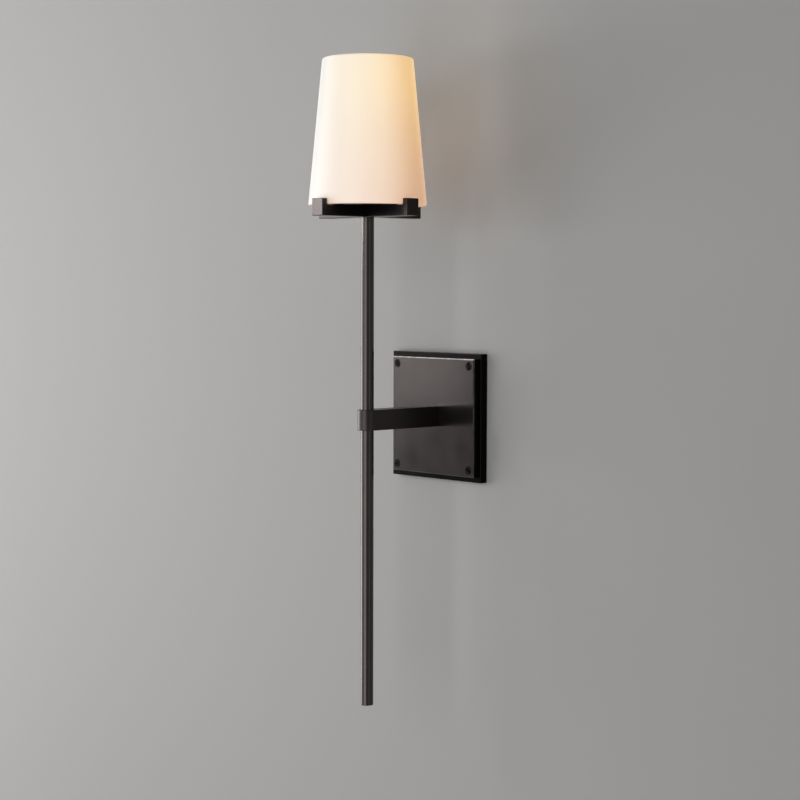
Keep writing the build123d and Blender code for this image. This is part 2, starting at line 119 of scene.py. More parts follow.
def addNode(tree, kind, feeds=None, **settings):
    node = tree.nodes.new(kind)
    for key, value in settings.items():
        setattr(node, key, value)
    for key, value in (feeds or {}).items():
        feed(tree, value, node.inputs[key])
    return node


def addMath(tree, operation, *values, clamp=False):
    feeds = dict(enumerate(values))
    return addNode(tree, "ShaderNodeMath", feeds, operation=operation, use_clamp=clamp).outputs[0]


def addVectorMath(tree, operation, *values):
    node = addNode(tree, "ShaderNodeVectorMath", dict(enumerate(values)), operation=operation)
    return node.outputs["Value" if operation == "DOT_PRODUCT" else "Vector"]


def joinVector(tree, *parts):
    return addNode(tree, "ShaderNodeCombineXYZ", dict(enumerate(parts))).outputs[0]


def splitVector(tree, vector):
    return addNode(tree, "ShaderNodeSeparateXYZ", {"Vector": vector}).outputs


def addRange(tree, value, fromSpan, toSpan=unitSpan, smooth=True):
    names = ("Value", "From Min", "From Max", "To Min", "To Max")
    feeds = dict(zip(names, (value, *fromSpan, *toSpan)))
    kind = "SMOOTHSTEP" if smooth else "LINEAR"
    return addNode(tree, "ShaderNodeMapRange", feeds, interpolation_type=kind).outputs["Result"]


def addMix(tree, factor, first, second, blend="MIX"):
    feeds = {colourMix["factor"]: factor, colourMix["first"]: first, colourMix["second"]: second}
    node = addNode(tree, "ShaderNodeMix", feeds, data_type="RGBA", blend_type=blend)
    return node.outputs[colourMix["result"]]


def addNoise(tree, vector, scale, detail=2.0, roughness=0.5):
    feeds = {"Vector": vector, "Scale": scale, "Detail": detail, "Roughness": roughness}
    return addNode(tree, "ShaderNodeTexNoise", feeds).outputs["Fac"]


# a shader group that reads a place, with its settings as inputs and its results as outputs
def startGroup(name, settings, results):
    tree = bpy.data.node_groups.new(name, "ShaderNodeTree")
    tree.interface.new_socket(name="Vector", in_out="INPUT", socket_type=socketKinds[tuple])
    for label, value in settings.items():
        socket = tree.interface.new_socket(name=label, in_out="INPUT", socket_type=socketKinds[type(value)])
        socket.default_value = value
    for label in results:
        tree.interface.new_socket(name=label, in_out="OUTPUT", socket_type=socketKinds[float])
    return tree, addNode(tree, "NodeGroupInput").outputs, addNode(tree, "NodeGroupOutput").inputs


# fine satin grain with slow cloudy patches, for painted, cast and moulded faces
grainLook = {
    "settings": {"Grain": 1400.0, "Cloud": 45.0},  # noise scales, on a model in metres
    "detail": 3.0,
    "grainRoughness": 0.6,
    "cloudRoughness": 0.5,
    "cloudSpan": (0.2, 0.8),  # noise levels that become 0 and 1
}


def buildSatinGrain():
    tree, start, end = startGroup("satinGrain", grainLook["settings"], ("Height", "Clouds"))
    detail = grainLook["detail"]
    fine = addNoise(tree, start["Vector"], start["Grain"], detail, grainLook["grainRoughness"])
    broad = addNoise(tree, start["Vector"], start["Cloud"], detail, grainLook["cloudRoughness"])
    tree.links.new(fine, end["Height"])
    tree.links.new(addRange(tree, broad, grainLook["cloudSpan"], smooth=False), end["Clouds"])
    return tree


# ends a mask group: where a face's measure is in its span, broken up by noise
def endMask(tree, start, end, measure, look):
    place = addRange(tree, measure, look["placeSpan"])
    noise = addNoise(tree, start["Vector"], look["patchScale"], look["patchDetail"], look["patchRoughness"])
    mask = addMath(tree, "MULTIPLY", place, addRange(tree, noise, look["patchSpan"]))
    tree.links.new(addMath(tree, "MULTIPLY", mask, start["Amount"], clamp=True), end["Mask"])


# mask of wear and painted highlight on eased edges: faces that look along no axis
wearAndGlintLook = {
    "settings": {"Amount": 0.5},
    "placeSpan": (0.985, 0.9),  # largest part of the normal, from none to full
    "patchScale": 160.0,
    "patchDetail": 3.0,
    "patchRoughness": 0.6,
    "patchSpan": (0.35, 0.65),
}


def buildEdgeWearAndGlint():
    tree, start, end = startGroup("edgeWearAndGlint", wearAndGlintLook["settings"], ("Mask",))
    normal = addNode(tree, "ShaderNodeNewGeometry").outputs["True Normal"]
    x, y, z = splitVector(tree, addVectorMath(tree, "ABSOLUTE", normal))
    largest = addMath(tree, "MAXIMUM", addMath(tree, "MAXIMUM", x, y), z)
    endMask(tree, start, end, largest, wearAndGlintLook)
    return tree


# a thin, lighter and rougher film on faces that look up
upFacingLook = {
    "settings": {"Amount": 0.3},
    "placeSpan": (0.6, 0.98),  # how far the normal points up, from none to full
    "patchScale": 220.0,
    "patchDetail": 5.0,
    "patchRoughness": 0.65,
    "patchSpan": (0.3, 0.75),
}


def buildUpFacingFilm():
    tree, start, end = startGroup("upFacingFilm", upFacingLook["settings"], ("Mask",))
    normal = addNode(tree, "ShaderNodeNewGeometry").outputs["Normal"]
    endMask(tree, start, end, splitVector(tree, normal)["Z"], upFacingLook)
    return tree


# fine lines left by drawing, turning or brushing: noise drawn out by a stretch
lineLook = {
    "settings": {"Stretch": (1.0, 1.0, 0.02), "Fine": 2600.0},
    "broadShare": 0.22,        # scale of the broad streaks, as a share of the fine lines'
    "streakSpan": (0.3, 0.7),
}


def buildDrawnLines():
    tree, start, end = startGroup("drawnLines", lineLook["settings"], ("Height", "Streaks"))
    drawn = addVectorMath(tree, "MULTIPLY", start["Vector"], start["Stretch"])
    slow = addMath(tree, "MULTIPLY", start["Fine"], lineLook["broadShare"])
    tree.links.new(addNoise(tree, drawn, start["Fine"]), end["Height"])
    tree.links.new(addRange(tree, addNoise(tree, drawn, slow), lineLook["streakSpan"]), end["Streaks"])
    return tree


satinGrain = buildSatinGrain()
edgeWearAndGlint = buildEdgeWearAndGlint()
upFacingFilm = buildUpFacingFilm()
drawnLines = buildDrawnLines()


# small helpers for materials
def startMaterial(name):
    material = bpy.data.materials.new(name)
    material.use_nodes = True
    tree = material.node_tree
    coords = addNode(tree, "ShaderNodeTexCoord").outputs["Object"]
    return material, tree, tree.nodes["Principled BSDF"], coords


def addEffect(tree, group, coords, **values):
    return addNode(tree, "ShaderNodeGroup", dict(values, Vector=coords), node_tree=group).outputs


def addBump(tree, surface, height, strength, distance):
    node = addNode(tree, "ShaderNodeBump", {"Height": height, "Strength": strength, "Distance": distance})
    tree.links.new(node.outputs["Normal"], surface.inputs["Normal"])


# base colour and roughness that follow a mask from a first value to a second
def linkTone(tree, surface, mask, tones):
    tree.links.new(addMix(tree, mask, *tones), surface.inputs["Base Color"])


def linkRough(tree, surface, mask, rough, smooth=False):
    tree.links.new(addRange(tree, mask, unitSpan, rough, smooth), surface.inputs["Roughness"])


# dark oil-rubbed bronze: near-black brown lacquer over metal, each piece with its own sheen
bronzeLook = {
    "dark": (0.054, 0.047, 0.046),
    "warm": (0.064, 0.055, 0.053),
    # lighter brown of eased edges: partly worn bronze, partly painted highlight
    "wearAndGlintTone": (0.200, 0.165, 0.150),
    "topFilm": (0.160, 0.152, 0.146),
    "topFilmRoughness": 0.35,     # added where the film lies
    "metallic": 0.88,
    "specular": 0.5,           # for a piece that names none
    "bump": (0.35, 0.000012),  # strength, and depth in metres
}
# each piece's tone scales the bronze colours to how bright that piece shows under these lamps: lit and
# shaded copies of one finish, painted light
bronzeLitShadedPieces = {
    "plateBronze": {"tone": 0.95, "rough": (0.14, 0.18), "topFilm": 0.10, "wearAndGlint": 0.5},
    "panBronze": {"tone": 0.09, "rough": (0.16, 0.20), "topFilm": 0.03, "specular": 0.1},
    "armBronze": {"tone": 0.8, "rough": (0.30, 0.36), "topFilm": 0.03, "specular": 0.3},
    "rodBronze": {"tone": 1.08, "rough": (0.13, 0.18), "topFilm": 0.04, "lines": (1.0, 1.0, 0.012)},
    "cradleBronze": {"tone": 0.55, "rough": (0.20, 0.25), "topFilm": 0.08, "wearAndGlint": 0.3},
    # the screw heads' near-black tone is painted shade in their recesses
    "screwBronze": {"tone": 0.12, "rough": (0.16, 0.22), "topFilm": 0.0, "wearAndGlint": 0.7, "specular": 0.15},
}


def bronzeFinish(name):
    look = bronzeLitShadedPieces[name]
    material, tree, surface, coords = startMaterial(name)
    grain = addEffect(tree, satinGrain, coords)
    height = grain["Height"]
    patches = grain["Clouds"]
    # per-piece tone: painted light and shade on one finish
    darkTone = [part * look["tone"] for part in bronzeLook["dark"]]
    warmTone = [part * look["tone"] for part in bronzeLook["warm"]]
    tone = addMix(tree, patches, darkTone, warmTone)
    # eased edges made lighter: wear, and a painted highlight along chamfers and screw rims
    if "wearAndGlint" in look:
        wornAndGlinting = addEffect(tree, edgeWearAndGlint, coords, Amount=look["wearAndGlint"])
        tone = addMix(tree, wornAndGlinting["Mask"], tone, bronzeLook["wearAndGlintTone"])
    if "lines" in look:
        drawn = addEffect(tree, drawnLines, coords, Stretch=look["lines"])
        height = addMath(tree, "ADD", height, drawn["Height"])
        patches = addMath(tree, "ADD", patches, drawn["Streaks"])
        patches = addMath(tree, "MULTIPLY", patches, 0.5)  # the mean of the two
    # faces that look up made lighter and rougher
    film = addEffect(tree, upFacingFilm, coords, Amount=look["topFilm"])
    linkTone(tree, surface, film["Mask"], (tone, bronzeLook["topFilm"]))
    rough = addRange(tree, patches, unitSpan, look["rough"], smooth=False)
    topFilmRough = addMath(tree, "MULTIPLY", film["Mask"], bronzeLook["topFilmRoughness"])
    tree.links.new(addMath(tree, "ADD", rough, topFilmRough, clamp=True), surface.inputs["Roughness"])
    surface.inputs["Metallic"].default_value = bronzeLook["metallic"]
    surface.inputs["Specular IOR Level"].default_value = look.get("specular", bronzeLook["specular"])
    addBump(tree, surface, height, *bronzeLook["bump"])
    return material


finishes = {name: bronzeFinish(name) for name in bronzeLitShadedPieces}


# bare metals: base and patch tones, a roughness range and the stretch of the tool marks
metalLook = {"cloud": 90.0, "bump": (0.3, 0.00001)}
metalPieces = {
    "zincSteel": {
        "tones": ((0.56, 0.57, 0.58), (0.66, 0.65, 0.60)),
        "rough": (0.28, 0.42),
        "lines": (1.0, 0.05, 1.0),
    },
    "turnedBrass": {
        "tones": ((0.62, 0.43, 0.17), (0.54, 0.37, 0.145)),
        "rough": (0.2, 0.32),
        "lines": (0.04, 0.04, 1.0),
    },
    "rolledBase": {
        "tones": ((0.66, 0.66, 0.65), (0.54, 0.54, 0.53)),
        "rough": (0.22, 0.36),
        "lines": (0.04, 0.04, 1.0),
    },
}


def metalFinish(name):
    look = metalPieces[name]
    material, tree, surface, coords = startMaterial(name)
    grain = addEffect(tree, satinGrain, coords, Cloud=metalLook["cloud"])
    drawn = addEffect(tree, drawnLines, coords, Stretch=look["lines"])
    linkTone(tree, surface, grain["Clouds"], look["tones"])
    linkRough(tree, surface, drawn["Streaks"], look["rough"])
    surface.inputs["Metallic"].default_value = 1.0
    addBump(tree, surface, drawn["Height"], *metalLook["bump"])
    return material


finishes.update({name: metalFinish(name) for name in metalPieces})


# moulded, glazed and extruded parts: two close tones, a roughness range, the grain and its depth in metres
mouldedLook = {"cloud": 120.0, "bumpStrength": 0.3}
mouldedPieces = {
    "phenolic": {
        "tones": ((0.030, 0.022, 0.018), (0.050, 0.036, 0.028)),
        "rough": (0.34, 0.5),
        "grain": 900.0,
        "depth": 0.00003,
    },
    "blackGlaze": {
        "tones": ((0.022, 0.022, 0.028), (0.036, 0.036, 0.044)),
        "rough": (0.1, 0.2),
        "grain": 300.0,
        "depth": 0.00001,
    },
    "clearSilicone": {
        "tones": ((0.74, 0.76, 0.77), (0.82, 0.83, 0.82)),
        "rough": (0.36, 0.5),
        "grain": 700.0,
        "depth": 0.00002,
        "inside": {"Subsurface Weight": 0.4, "Subsurface Scale": 0.002},
    },
    "blackLead": {
        "tones": ((0.014, 0.014, 0.015), (0.024, 0.024, 0.025)),
        "rough": (0.3, 0.42),
        "grain": 800.0,
        "depth": 0.00002,
    },
    "whiteLead": {
        "tones": ((0.74, 0.74, 0.70), (0.80, 0.80, 0.77)),
        "rough": (0.32, 0.44),
        "grain": 800.0,
        "depth": 0.00002,
    },
    "greenLead": {
        "tones": ((0.035, 0.22, 0.06), (0.05, 0.28, 0.08)),
        "rough": (0.3, 0.42),
        "grain": 800.0,
        "depth": 0.00002,
    },
    "nylonCap": {
        "tones": ((0.62, 0.60, 0.50), (0.70, 0.68, 0.59)),
        "rough": (0.38, 0.52),
        "grain": 600.0,
        "depth": 0.00003,
    },
}


def mouldedFinish(name):
    look = mouldedPieces[name]
    material, tree, surface, coords = startMaterial(name)
    grain = addEffect(tree, satinGrain, coords, Grain=look["grain"], Cloud=mouldedLook["cloud"])
    linkTone(tree, surface, grain["Clouds"], look["tones"])
    linkRough(tree, surface, grain["Clouds"], look["rough"])
    addBump(tree, surface, grain["Height"], mouldedLook["bumpStrength"], look["depth"])
    for socket, value in look.get("inside", {}).items():  # light that soaks into a clear piece
        surface.inputs[socket].default_value = value
    return material


finishes.update({name: mouldedFinish(name) for name in mouldedPieces})


# how near a point is to the bulb's middle: 1 beside it, falling towards the shade's two ends
glowLook = {
    "settings": {"Reach": 0.06, "Lift": 0.0},  # in metres
    "fade": -1.1,                              # power by which the glow falls
    "rippleStretch": (1.0, 1.0, 0.25),
    "rippleScale": 60.0,
}


def buildBulbGlow():
    tree, start, end = startGroup("bulbGlow", glowLook["settings"], ("Glow", "Ripple"))
    rise = addMath(tree, "SUBTRACT", splitVector(tree, start["Vector"])["Z"], bulbMiddle)
    rise = addMath(tree, "SUBTRACT", rise, start["Lift"])
    share = addMath(tree, "DIVIDE", rise, start["Reach"])
    square = addMath(tree, "MULTIPLY", share, share)
    fall = addMath(tree, "POWER", addMath(tree, "ADD", square, 1.0), glowLook["fade"])
    waves = addVectorMath(tree, "MULTIPLY", start["Vector"], glowLook["rippleStretch"])
    tree.links.new(fall, end["Glow"])
    tree.links.new(addNoise(tree, waves, glowLook["rippleScale"]), end["Ripple"])
    return tree


bulbGlow = buildBulbGlow()


# white opal glass with a painted glow of the bulb's light: cream at its front, amber at its back, faint at
# its front left
opalLook = {
    "tones": ((0.675, 0.67, 0.66), (0.655, 0.65, 0.64)),  # over the ripple
    "cream": (0.81, 0.65, 0.405),
    "creamFar": (0.69, 0.475, 0.36),  # far above and below the glow's middle
    "amber": (0.70, 0.41, 0.12),
    "amberFar": (0.42, 0.19, 0.10),
    "reach": 0.080,
    "lift": 0.020,                # the glow's middle above the bulb's
    "creamAzimuth": 0.0,          # degrees round from square-on
    "creamSpan": (-0.35, 0.95),   # cosines of the angle from there, none to full
    "fullAzimuth": 120.0,         # the side painted with the most glow
    "fullSpan": (-0.75, 0.81),
    "leastGlow": 0.03,
    "strength": 1.0,
    "rippleSpan": (0.2, 0.8),
    "rippleGlow": (0.98, 1.02),   # share of the glow over that span
    "rough": (0.42, 0.48),
    "specular": 0.35,
    "bump": (0.15, 0.0003),
}


# how far the surface looks towards an azimuth, from a least level to 1 over a span of cosines
def addFacing(tree, outward, azimuth, span, least=0.0, smooth=True):
    turn = math.radians(azimuth)
    side = addVectorMath(tree, "DOT_PRODUCT", outward, (math.sin(turn), -math.cos(turn), 0.0))
    return addRange(tree, side, span, (least, 1.0), smooth)


def opalFinish(name):
    material, tree, surface, coords = startMaterial(name)
    glow = addEffect(tree, bulbGlow, coords, Reach=opalLook["reach"], Lift=opalLook["lift"])
    ripple = glow["Ripple"]
    linkTone(tree, surface, ripple, opalLook["tones"])
    fromAxis = addVectorMath(tree, "SUBTRACT", coords, tuple(rodAxis))
    level = addVectorMath(tree, "MULTIPLY", fromAxis, (1.0, 1.0, 0.0))  # drops the height
    outward = addVectorMath(tree, "NORMALIZE", level)
    # painted light: the glow's colour runs from cream at the front to amber at the back
    frontGlowShare = addFacing(tree, outward, opalLook["creamAzimuth"], opalLook["creamSpan"])
    # painted shade: the glow is faintest on the front left, where the lamps fall, and fullest at the back
    # right
    full = addFacing(tree, outward, opalLook["fullAzimuth"], opalLook["fullSpan"],
                     opalLook["leastGlow"], smooth=False)
    full = addMath(tree, "SQRT", full)
    near = addMix(tree, frontGlowShare, opalLook["amber"], opalLook["cream"])
    far = addMix(tree, frontGlowShare, opalLook["amberFar"], opalLook["creamFar"])
    warm = addMix(tree, glow["Glow"], far, near)
    waver = addRange(tree, ripple, opalLook["rippleSpan"], opalLook["rippleGlow"])
    shading = addMath(tree, "MULTIPLY", waver, full)
    # the painted glow, set as the shade's emission
    tree.links.new(addMix(tree, 1.0, warm, shading, "MULTIPLY"), surface.inputs["Emission Color"])
    surface.inputs["Emission Strength"].default_value = opalLook["strength"]
    linkRough(tree, surface, ripple, opalLook["rough"], smooth=True)
    surface.inputs["Specular IOR Level"].default_value = opalLook["specular"]
    addBump(tree, surface, ripple, *opalLook["bump"])
    return material


# frosted bulb, glowing most round its middle
frostLook = {
    "tones": ((0.64, 0.61, 0.56), (0.70, 0.685, 0.65)),  # far from the middle, and beside it
    "glows": ((0.55, 0.36, 0.18), (1.0, 0.80, 0.52)),
    "strength": 0.55,
    "reach": 0.045,
    "grain": 2200.0,
    "rough": (0.45, 0.55),
    "bump": (0.3, 0.00001),
}


def frostFinish(name):
    material, tree, surface, coords = startMaterial(name)
    glow = addEffect(tree, bulbGlow, coords, Reach=frostLook["reach"])
    linkTone(tree, surface, glow["Glow"], frostLook["tones"])
    tree.links.new(addMix(tree, glow["Glow"], *frostLook["glows"]), surface.inputs["Emission Color"])
    surface.inputs["Emission Strength"].default_value = frostLook["strength"]
    grain = addEffect(tree, satinGrain, coords, Grain=frostLook["grain"])
    linkRough(tree, surface, grain["Clouds"], frostLook["rough"])
    addBump(tree, surface, grain["Height"], *frostLook["bump"])
    return material


# clear stem glass inside the bulb
stemLook = {
    "tones": ((0.90, 0.94, 0.92), (0.95, 0.97, 0.96)),
    "cloud": 200.0,
    "rough": (0.03, 0.08),
    "ior": 1.5,
}


def stemFinish(name):
    material, tree, surface, coords = startMaterial(name)
    grain = addEffect(tree, satinGrain, coords, Cloud=stemLook["cloud"])
    linkTone(tree, surface, grain["Clouds"], stemLook["tones"])
    linkRough(tree, surface, grain["Clouds"], stemLook["rough"])
    surface.inputs["Transmission Weight"].default_value = 1.0
    surface.inputs["IOR"].default_value = stemLook["ior"]
    return material


# glowing filaments on the stem
filamentLook = {
    "tones": ((0.85, 0.55, 0.16), (0.92, 0.66, 0.24)),
    "cloud": 400.0,
    "strength": 4.0,
    "roughness": 0.6,
}


def filamentFinish(name):
    material, tree, surface, coords = startMaterial(name)
    grain = addEffect(tree, satinGrain, coords, Cloud=filamentLook["cloud"])
    tone = addMix(tree, grain["Clouds"], *filamentLook["tones"])
    tree.links.new(tone, surface.inputs["Base Color"])
    tree.links.new(tone, surface.inputs["Emission Color"])
    surface.inputs["Emission Strength"].default_value = filamentLook["strength"]
    surface.inputs["Roughness"].default_value = filamentLook["roughness"]
    return material


finishes["opalGlass"] = opalFinish("opalGlass")
finishes["frostedBulb"] = frostFinish("frostedBulb")
finishes["clearStem"] = stemFinish("clearStem")
finishes["filamentCoat"] = filamentFinish("filamentCoat")
print("finishes ready:", len(finishes))


# the CAD nodes that each finish goes on
nodesOfFinish = {
    "plateBronze": ("face_plate",),
    "panBronze": ("back_pan",),
    "armBronze": ("arm",),
    "rodBronze": ("rod", "rod_tail_plug"),
    "cradleBronze": ("cradle", "floor_disc"),
    "screwBronze": ("face_plate_screws", "rod_set_screw"),
    "zincSteel": ("wall_plate", "wall_plate_posts", "earth_tags", "arm_screws", "arm_washer",
                  "socket_nipple"),
    "turnedBrass": ("earth_screw", "cradle_washer", "cradle_nut", "socket_cap", "socket_sleeve",
                    "socket_screw_shell", "socket_contact", "socket_terminals"),
    "rolledBase": ("bulb_cap", "bulb_contact"),
    "phenolic": ("socket_insulator",),
    "blackGlaze": ("bulb_insulator",),
    "clearSilicone": ("cradle_pads",),
    "blackLead": ("live_wire",),
    "whiteLead": ("neutral_wire",),
    "greenLead": ("earth_wire",),
    "nylonCap": ("crimp_caps",),
    "opalGlass": ("glass_shade",),
    "frostedBulb": ("bulb_glass",),
    "clearStem": ("bulb_stem",),
    "filamentCoat": ("bulb_filament",),
}


def dressNodes():
    for finish, names in nodesOfFinish.items():
        for name in names:
            mesh = cadNodes[name].data
            mesh.materials.clear()
            mesh.materials.append(finishes[finish])


dressNodes()
print("CAD nodes dressed")


# helpers for geometry node trees
geometrySocket = "NodeSocketGeometry"


def startShapeTree(name, sizes, takesMesh):
    tree = bpy.data.node_groups.new(name, "GeometryNodeTree")
    if takesMesh:
        tree.interface.new_socket(name="Mesh", in_out="INPUT", socket_type=geometrySocket)
    for label, value in sizes.items():
        tree.interface.new_socket(name=label, in_out="INPUT", socket_type=socketKinds[type(value)])
    tree.interface.new_socket(name="Material", in_out="INPUT", socket_type="NodeSocketMaterial")
    tree.interface.new_socket(name="Mesh", in_out="OUTPUT", socket_type=geometrySocket)
    return tree, addNode(tree, "NodeGroupInput").outputs, addNode(tree, "NodeGroupOutput")


def endShapeTree(tree, end, mesh, material):
    solid = addNode(tree, "GeometryNodeRealizeInstances", {"Geometry": mesh})
    painting = {"Geometry": solid.outputs[0], "Material": material}
    painted = addNode(tree, "GeometryNodeSetMaterial", painting)
    tree.links.new(painted.outputs[0], end.inputs[0])


# a plain mesh of what an object's modifiers make
def finalMesh(piece):
    bpy.context.view_layer.update()
    return bpy.data.meshes.new_from_object(piece.evaluated_get(bpy.context.evaluated_depsgraph_get()))


# runs a tree once on a start mesh and keeps the result as a plain mesh
def bakeShape(name, tree, sizes, material, startMesh=None):
    piece = bpy.data.objects.new(name, startMesh or bpy.data.meshes.new(name + "Start"))
    modifier = piece.modifiers.new("shape", "NODES")
    modifier.node_group = tree
    values = dict(sizes, Material=material)
    for item in tree.interface.items_tree:
        if item.in_out == "INPUT" and item.name in values:
            modifier[item.identifier] = values[item.name]
    scene.collection.objects.link(piece)
    whole = finalMesh(piece)
    piece.modifiers.clear()
    piece.data = whole
    whole.name = name
    return piece


# glass shade: a rounded wall outline swept round the rod's axis
shadeLow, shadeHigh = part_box("glass_shade")
shadeSizes = {
    "Foot Radius": 0.0571,   # outside, as in the CAD
    "Mouth Radius": 0.0437,  # outside, at the top
    "Height": shadeHigh.z - shadeLow.z,
    "Wall": 0.004,
    "Rim Round": 0.0019,
    "Foot Level": shadeLow.z,
    "Axis Y": rodAxis.y,
    "Sides": 192,
    "Rim Steps": 8,
}


def buildShadeTree():
    tree, size, end = startShapeTree("shadeLathe", shadeSizes, False)
    lean = addMath(tree, "SUBTRACT", size["Mouth Radius"], size["Foot Radius"])
    thin = addMath(tree, "MULTIPLY", size["Wall"], -1.0)
    top = addMath(tree, "MULTIPLY", size["Height"], -1.0)  # the sweep turns an outline's +Y down
    corners = {
        "Point 1": joinVector(tree, thin, 0.0, 0.0),
        "Point 2": joinVector(tree, addMath(tree, "ADD", lean, thin), top, 0.0),
        "Point 3": joinVector(tree, lean, top, 0.0),
        "Point 4": (0.0, 0.0, 0.0),
    }
    outline = addNode(tree, "GeometryNodeCurvePrimitiveQuadrilateral", corners, mode="POINTS")
    rounding = {"Curve": outline.outputs[0], "Count": size["Rim Steps"], "Radius": size["Rim Round"]}
    rounded = addNode(tree, "GeometryNodeFilletCurve", rounding, mode="POLY")
    circle = {"Resolution": size["Sides"], "Radius": size["Foot Radius"]}
    ring = addNode(tree, "GeometryNodeCurvePrimitiveCircle", circle)
    curves = {"Curve": ring.outputs[0], "Profile Curve": rounded.outputs[0]}
    sweep = addNode(tree, "GeometryNodeCurveToMesh", curves)
    smooth = addNode(tree, "GeometryNodeSetShadeSmooth", {"Geometry": sweep.outputs[0]})
    place = joinVector(tree, 0.0, size["Axis Y"], size["Foot Level"])
    placed = addNode(tree, "GeometryNodeTransform", {"Geometry": smooth.outputs[0], "Translation": place})
    endShapeTree(tree, end, placed.outputs[0], size["Material"])
    return tree


shadePiece = bakeShape("opalShade", buildShadeTree(), shadeSizes, finishes["opalGlass"])
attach(shadePiece, "shade")
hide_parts("glass_shade")
print("shade turned:", len(shadePiece.data.polygons), "faces")


# corner screws: one slotted countersunk head and shank, set at the plate's four corners
screwLow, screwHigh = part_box("face_plate_screws")
screwLook = {
    "headRadius": 0.0042,
    "rimEase": 0.00025,
    "shankRadius": 0.002,
    "slotWidth": 0.0014,
    "slotDepth": 0.0011,
    "sides": 48,
    "turns": (-20.0, 50.0, 35.0, 80.0),  # degrees, lower left, upper left, lower right, upper right
}
screwSizes = {
    "Span": (screwHigh.x - screwLow.x) - 2 * screwLook["headRadius"],
    "Head Front": screwLow.y,
}


def turnedPart(rings, sides):
    solid = bmesh.new()
    angles = [2 * math.pi * step / sides for step in range(sides)]
    loops = []
    for radius, depth in rings:
        loop = [solid.verts.new((radius * math.cos(a), depth, radius * math.sin(a))) for a in angles]
        loops.append(loop)
    for near, far in zip(loops, loops[1:]):
        for step in range(sides):
            after = (step + 1) % sides
            solid.faces.new((near[step], near[after], far[after], far[step]))
    solid.faces.new(loops[0])
    solid.faces.new(loops[-1])
    bmesh.ops.recalc_face_normals(solid, faces=solid.faces)
    return solid


# puts a bmesh in the scene as an object, and frees it
def placeSolid(name, solid):
    mesh = bpy.data.meshes.new(name)
    solid.to_mesh(mesh)
    solid.free()
    piece = bpy.data.objects.new(name, mesh)
    scene.collection.objects.link(piece)
    return piece


def makeScrewMesh():
    head = screwLook["headRadius"]
    ease = screwLook["rimEase"]
    shank = screwLook["shankRadius"]
    rings = [
        (head - ease, 0.0),
        (head, ease),
        (shank, ease + head - shank),
        (shank, screwHigh.y - screwLow.y),
    ]
    blank = placeSolid("slottedScrew", turnedPart(rings, screwLook["sides"]))
    block = bmesh.new()
    bmesh.ops.create_cube(block, size=1.0)
    cutLength = 3 * head                   # longer than the head is wide
    cutDepth = 2 * screwLook["slotDepth"]  # half of it stands out in front
    bmesh.ops.scale(block, verts=block.verts, vec=(cutLength, cutDepth, screwLook["slotWidth"]))
    cutter = placeSolid("slotCutter", block)
    cut = blank.modifiers.new("slot", "BOOLEAN")
    cut.object = cutter
    cut.operation = "DIFFERENCE"
    slotted = finalMesh(blank)
    for piece in (blank, cutter):
        bpy.data.objects.remove(piece)
    return slotted


def buildScrewTree():
    tree, size, end = startShapeTree("cornerScrews", screwSizes, True)
    square = {"Vertices X": 2, "Vertices Y": 2, "Size X": size["Span"], "Size Y": size["Span"]}
    corners = addNode(tree, "GeometryNodeMeshGrid", square)
    standing = {
        "Geometry": corners.outputs["Mesh"],
        "Rotation": (math.radians(90.0), 0.0, 0.0),
        "Translation": joinVector(tree, 0.0, size["Head Front"], 0.0),
    }
    upright = addNode(tree, "GeometryNodeTransform", standing)
    turns = addNode(tree, "GeometryNodeIndexSwitch", data_type="FLOAT")
    while len(turns.index_switch_items) < len(screwLook["turns"]):
        turns.index_switch_items.new()
    for index, turn in enumerate(screwLook["turns"]):
        turns.inputs[index + 1].default_value = math.radians(turn)
    tree.links.new(addNode(tree, "GeometryNodeInputIndex").outputs[0], turns.inputs["Index"])
    setting = {
        "Points": upright.outputs[0],
        "Instance": size["Mesh"],
        "Rotation": joinVector(tree, 0.0, turns.outputs[0], 0.0),
    }
    placed = addNode(tree, "GeometryNodeInstanceOnPoints", setting)
    endShapeTree(tree, end, placed.outputs[0], size["Material"])
    return tree


screwPiece = bakeShape("cornerScrews", buildScrewTree(), screwSizes, finishes["screwBronze"],
                       makeScrewMesh())
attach(screwPiece, "fixture")
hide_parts("face_plate_screws")
print("screws set:", len(screwPiece.data.polygons), "faces")


# pale floor and a plain backdrop just behind the lamp, seen from its front only
studio = {
    "floorDrop": 1.5,        # below the rod's tail, in metres
    "floorReach": 20.0,      # to each side
    "floorSeen": 0.25,       # own light of the floor, as the camera and reflections see it
    "backdropGap": 0.0004,   # behind the pan's back
    "backdropReach": 1.5,    # to each side
    "backdropInset": 0.004,  # the backdrop stops this far inside the pan's edge, so the back stays open
    "backdropHigh": 2.6,     # its top edge over the pan's centre
    "tones": ((0.362, 0.357, 0.352), (0.380, 0.375, 0.370)),
    "toneScale": 1.2,
    "roughness": 0.9,
    "specular": 0.1,
    "worldTone": (1.0, 0.99, 0.98),
    "worldLight": 0.05,
    "worldSeen": 0.30,       # level for the camera and reflections
}


def addSheet(name, corners, faces, material):
    mesh = bpy.data.meshes.new(name)
    mesh.from_pydata(corners, [], faces)
    mesh.materials.append(material)
    sheet = bpy.data.objects.new(name, mesh)
    scene.collection.objects.link(sheet)
    return sheet


# 1 for rays from the camera, and for those that metal and glass send on
def addSeen(tree):
    rays = addNode(tree, "ShaderNodeLightPath").outputs
    seen = addMath(tree, "MAXIMUM", rays["Is Camera Ray"], rays["Is Glossy Ray"])
    return addMath(tree, "MAXIMUM", seen, rays["Is Transmission Ray"])


